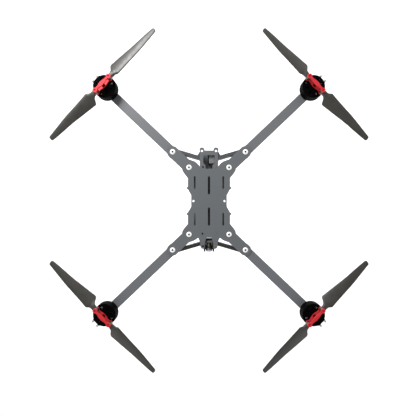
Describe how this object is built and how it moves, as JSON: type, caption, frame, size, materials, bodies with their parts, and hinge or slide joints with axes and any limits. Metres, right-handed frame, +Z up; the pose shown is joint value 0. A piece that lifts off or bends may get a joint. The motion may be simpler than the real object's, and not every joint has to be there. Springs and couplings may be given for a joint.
{
  "type": "quadcopter drone",
  "caption": "Camera racing drone: a carbon plate body on square tube arms, with outrunner motors, folding propellers in red clamps and a tilting nose camera",
  "frame": {"origin": "middle of the underside of the bottom plate, on the surface that the craft rests on", "axes": "+Z up, -Y towards the nose camera, +X towards the pilot's left"},
  "size_m": [0.8114, 0.8766, 0.0795],
  "materials": {
    "carbon_plate": "satin woven carbon laminate",
    "carbon_tube": "satin woven carbon tube",
    "carbon_blade": "glossy carbon blade",
    "strut_black": "black moulded nylon",
    "black_nylon": "black moulded nylon",
    "camera_shell": "black moulded housing",
    "black_anodised": "black anodised",
    "red_anodised": "red anodised",
    "bare_aluminium": "bead blasted",
    "bright_steel": "polished stainless",
    "grey_steel": "zinc plated",
    "nickel_plate": "nickel plated",
    "winding_copper": "laminated steel under enamelled wire",
    "wire_insulation": "silicone insulation",
    "circuit_board": "solder mask",
    "lens_glass": "coated lens"
  },
  "bodies": {
    "frame": {"bottom_plate": "carbon_plate", "top_plate": "carbon_plate", "tie_struts": "strut_black", "arm_bolts": "bright_steel", "arm_nuts": "bright_steel", "arm_end_plugs": "black_nylon", "end_plug_screws": "grey_steel", "motor_bases": "black_anodised", "motor_bearings": "bright_steel", "motor_stators": "winding_copper", "motor_screws": "grey_steel", "phase_wires": "wire_insulation", "speed_controller": "circuit_board", "flight_controller": "circuit_board", "stack_spacers": "black_nylon", "frame_screws": "grey_steel", "cage_posts": "black_anodised", "radio_receiver": "black_nylon", "video_transmitter": "bare_aluminium", "camera_brackets": "black_nylon", "arm_front_left": "carbon_tube", "arm_front_right": "carbon_tube", "arm_rear_left": "carbon_tube", "arm_rear_right": "carbon_tube"},
    "camera": {"camera_housing": "camera_shell", "camera_lens": "camera_shell", "lens_glass": "lens_glass", "tilt_screws": "grey_steel"},
    "rotor_front_left": {"motor_bell_front_left": "black_anodised", "motor_magnets_front_left": "nickel_plate", "motor_shaft_front_left": "grey_steel", "clamp_lower_front_left": "red_anodised", "clamp_upper_front_left": "red_anodised", "blade_pins_front_left": "red_anodised"},
    "blade_a_front_left": {"blade_a_front_left": "carbon_blade"},
    "blade_b_front_left": {"blade_b_front_left": "carbon_blade"},
    "rotor_front_right": {"motor_bell_front_right": "black_anodised", "motor_magnets_front_right": "nickel_plate", "motor_shaft_front_right": "grey_steel", "clamp_lower_front_right": "red_anodised", "clamp_upper_front_right": "red_anodised", "blade_pins_front_right": "red_anodised"},
    "blade_a_front_right": {"blade_a_front_right": "carbon_blade"},
    "blade_b_front_right": {"blade_b_front_right": "carbon_blade"},
    "rotor_rear_left": {"motor_bell_rear_left": "black_anodised", "motor_magnets_rear_left": "nickel_plate", "motor_shaft_rear_left": "grey_steel", "clamp_lower_rear_left": "red_anodised", "clamp_upper_rear_left": "red_anodised", "blade_pins_rear_left": "red_anodised"},
    "blade_a_rear_left": {"blade_a_rear_left": "carbon_blade"},
    "blade_b_rear_left": {"blade_b_rear_left": "carbon_blade"},
    "rotor_rear_right": {"motor_bell_rear_right": "black_anodised", "motor_magnets_rear_right": "nickel_plate", "motor_shaft_rear_right": "grey_steel", "clamp_lower_rear_right": "red_anodised", "clamp_upper_rear_right": "red_anodised", "blade_pins_rear_right": "red_anodised"},
    "blade_a_rear_right": {"blade_a_rear_right": "carbon_blade"},
    "blade_b_rear_right": {"blade_b_rear_right": "carbon_blade"}
  },
  "joints": [
    {"name": "camera_tilt", "type": "hinge", "parent": "frame", "child": "camera", "pos_m": [0, -0.111, 0.0155], "axis": [-1, 0, 0], "range_deg": [-30, 15]},
    {"name": "spin_front_left", "type": "hinge", "parent": "frame", "child": "rotor_front_left", "pos_m": [0.27, -0.295, 0.05], "axis": [0, 0, 1], "continuous": true},
    {"name": "fold_a_front_left", "type": "hinge", "parent": "rotor_front_left", "child": "blade_a_front_left", "pos_m": [0.28673, -0.27737, 0.07025], "axis": [0, 0, 1], "range_deg": [-100, 100]},
    {"name": "fold_b_front_left", "type": "hinge", "parent": "rotor_front_left", "child": "blade_b_front_left", "pos_m": [0.25327, -0.31263, 0.07025], "axis": [0, 0, 1], "range_deg": [-100, 100]},
    {"name": "spin_front_right", "type": "hinge", "parent": "frame", "child": "rotor_front_right", "pos_m": [-0.27, -0.295, 0.05], "axis": [0, 0, 1], "continuous": true},
    {"name": "fold_a_front_right", "type": "hinge", "parent": "rotor_front_right", "child": "blade_a_front_right", "pos_m": [-0.28673, -0.27737, 0.07025], "axis": [0, 0, 1], "range_deg": [-100, 100]},
    {"name": "fold_b_front_right", "type": "hinge", "parent": "rotor_front_right", "child": "blade_b_front_right", "pos_m": [-0.25327, -0.31263, 0.07025], "axis": [0, 0, 1], "range_deg": [-100, 100]},
    {"name": "spin_rear_left", "type": "hinge", "parent": "frame", "child": "rotor_rear_left", "pos_m": [0.27, 0.295, 0.05], "axis": [0, 0, 1], "continuous": true},
    {"name": "fold_a_rear_left", "type": "hinge", "parent": "rotor_rear_left", "child": "blade_a_rear_left", "pos_m": [0.25327, 0.31263, 0.07025], "axis": [0, 0, 1], "range_deg": [-100, 100]},
    {"name": "fold_b_rear_left", "type": "hinge", "parent": "rotor_rear_left", "child": "blade_b_rear_left", "pos_m": [0.28673, 0.27737, 0.07025], "axis": [0, 0, 1], "range_deg": [-100, 100]},
    {"name": "spin_rear_right", "type": "hinge", "parent": "frame", "child": "rotor_rear_right", "pos_m": [-0.27, 0.295, 0.05], "axis": [0, 0, 1], "continuous": true},
    {"name": "fold_a_rear_right", "type": "hinge", "parent": "rotor_rear_right", "child": "blade_a_rear_right", "pos_m": [-0.25327, 0.31263, 0.07025], "axis": [0, 0, 1], "range_deg": [-100, 100]},
    {"name": "fold_b_rear_right", "type": "hinge", "parent": "rotor_rear_right", "child": "blade_b_rear_right", "pos_m": [-0.28673, 0.27737, 0.07025], "axis": [0, 0, 1], "range_deg": [-100, 100]}
  ]
}
